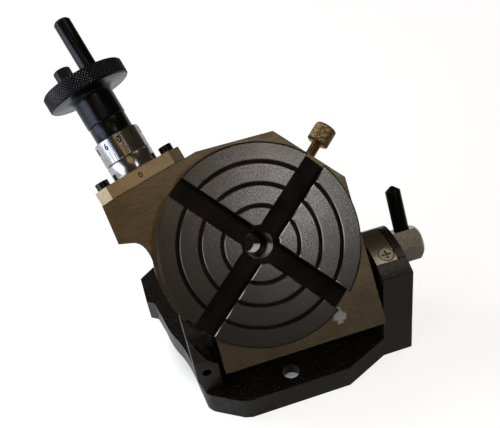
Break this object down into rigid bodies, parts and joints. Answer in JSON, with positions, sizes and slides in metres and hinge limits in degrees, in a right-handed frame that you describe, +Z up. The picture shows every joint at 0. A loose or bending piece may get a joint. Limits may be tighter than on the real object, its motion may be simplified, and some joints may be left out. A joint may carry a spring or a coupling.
{
  "type": "rotary table",
  "caption": "Tilting rotary table with a T-slotted round top, worm drive with graduated dial and crank handwheel, and a trunnion base with a tommy-bar tilt clamp.",
  "frame": {"origin": "underside of the base, below the tilt axis and below the middle of the table", "axes": "+Z up, +X along the tilt axis towards the clamp nut, +Y towards the back of the base"},
  "size_m": [0.1698, 0.1514, 0.1726],
  "materials": {
    "base_paint": "black machine paint over cast iron, satin",
    "plate_steel": "milled, satin",
    "machined_iron": "machined and oiled, warm grey",
    "table_iron": "ground, fine speckle",
    "bright_steel": "turned bright",
    "dial_steel": "turned and polished",
    "black_oxide": "black oxide, oiled",
    "brass": "turned and knurled",
    "bronze": "machined bearing bronze"
  },
  "bodies": {
    "base": {"base_casting": "base_paint", "index_plate": "plate_steel", "index_plate_screw": "plate_steel", "pivot_pin": "bright_steel"},
    "cradle": {"cradle_casting": "machined_iron", "pivot_bush": "bronze", "pivot_washer": "bright_steel", "clamp_side_washer": "bright_steel", "clamp_stud": "bright_steel", "spindle_bush": "bronze", "worm_housing": "machined_iron", "flange_screw_left": "black_oxide", "flange_screw_right": "black_oxide", "index_collar": "bright_steel", "worm_thrust_washer": "bronze", "lock_pad": "brass"},
    "table": {"table_disc": "table_iron", "worm_wheel": "bronze", "wheel_screw_1": "black_oxide", "wheel_screw_2": "black_oxide", "wheel_screw_3": "black_oxide", "wheel_screw_4": "black_oxide", "spindle_washer": "bright_steel", "spindle_nut": "black_oxide"},
    "worm": {"worm_shaft": "bright_steel", "dial_spring": "black_oxide", "dial_lock_ring": "black_oxide", "dial_grub_screw": "bright_steel", "handwheel": "black_oxide", "handwheel_key": "bright_steel", "handwheel_screw": "black_oxide", "crank_pin": "bright_steel", "hex_stud": "black_oxide"},
    "dial": {"graduated_dial": "dial_steel"},
    "crank": {"crank_handle": "black_oxide"},
    "lock": {"lock_screw": "brass"},
    "clamp": {"clamp_washer": "bright_steel", "clamp_nut": "bright_steel", "tommy_bar": "black_oxide"}
  },
  "joints": [
    {"name": "tilt", "type": "hinge", "parent": "base", "child": "cradle", "pos_m": [0, 0, 0.0485], "axis": [1, 0, 0], "range_deg": [-51, 39]},
    {"name": "table_spin", "type": "hinge", "parent": "cradle", "child": "table", "pos_m": [0, -0.00963, 0.08667], "axis": [0, -0.7771, 0.6293], "continuous": true},
    {"name": "worm_spin", "type": "hinge", "parent": "cradle", "child": "worm", "pos_m": [-0.03091, 0.00498, 0.06418], "axis": [-0.2588, 0.6079, 0.7507], "continuous": true},
    {"name": "dial_zero", "type": "hinge", "parent": "worm", "child": "dial", "pos_m": [-0.03091, 0.00498, 0.06418], "axis": [-0.2588, 0.6079, 0.7507], "continuous": true},
    {"name": "crank_turn", "type": "hinge", "parent": "worm", "child": "crank", "pos_m": [-0.02424, 0.01619, 0.0574], "axis": [-0.2588, 0.6079, 0.7507], "continuous": true},
    {"name": "lock_turn", "type": "hinge", "parent": "cradle", "child": "lock", "pos_m": [0, 0.00296, 0.07647], "axis": [0.7374, 0.4251, 0.5249], "range_deg": [-30, 150]},
    {"name": "clamp_turn", "type": "hinge", "parent": "cradle", "child": "clamp", "pos_m": [0, 0, 0.0485], "axis": [1, 0, 0], "range_deg": [-15, 120]}
  ],
  "couplings": [
    {"joint": "worm_spin", "follows": "table_spin", "ratio": 36}
  ]
}
